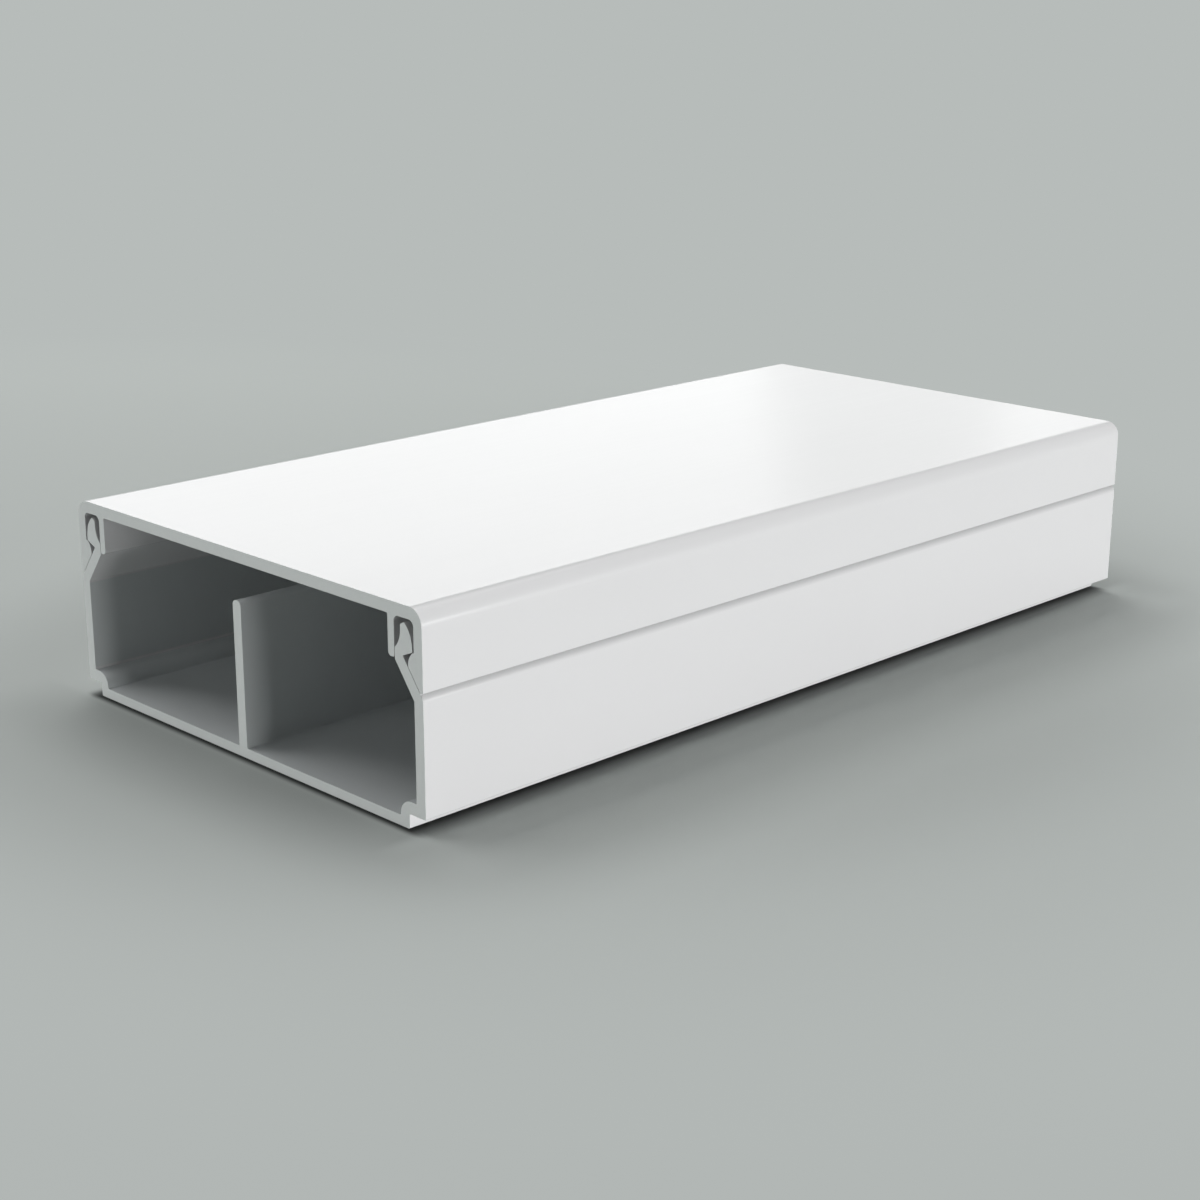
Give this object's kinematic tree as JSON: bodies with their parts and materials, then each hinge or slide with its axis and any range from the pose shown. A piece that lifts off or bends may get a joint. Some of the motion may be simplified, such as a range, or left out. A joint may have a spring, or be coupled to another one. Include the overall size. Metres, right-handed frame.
{
  "type": "cord cover raceway",
  "caption": "Short straight length of two-compartment cable trunking: a channel base with a middle partition and a flat lid that snaps over its barbed side walls.",
  "frame": {"origin": "middle of the flat underside, midway along the length, on the wall side", "axes": "+X across the trunking, +Y along its length, +Z from the wall side up to the lid"},
  "size_m": [0.1, 0.2, 0.0383],
  "materials": {
    "white_upvc": "gloss"
  },
  "bodies": {
    "base": {"trunking_base": "white_upvc"},
    "lid": {"snap_lid": "white_upvc"}
  },
  "joints": [
    {"name": "lid_slide", "type": "slide", "parent": "base", "child": "lid", "axis": [0, 1, 0], "range_m": [-0.2, 0.2]}
  ]
}
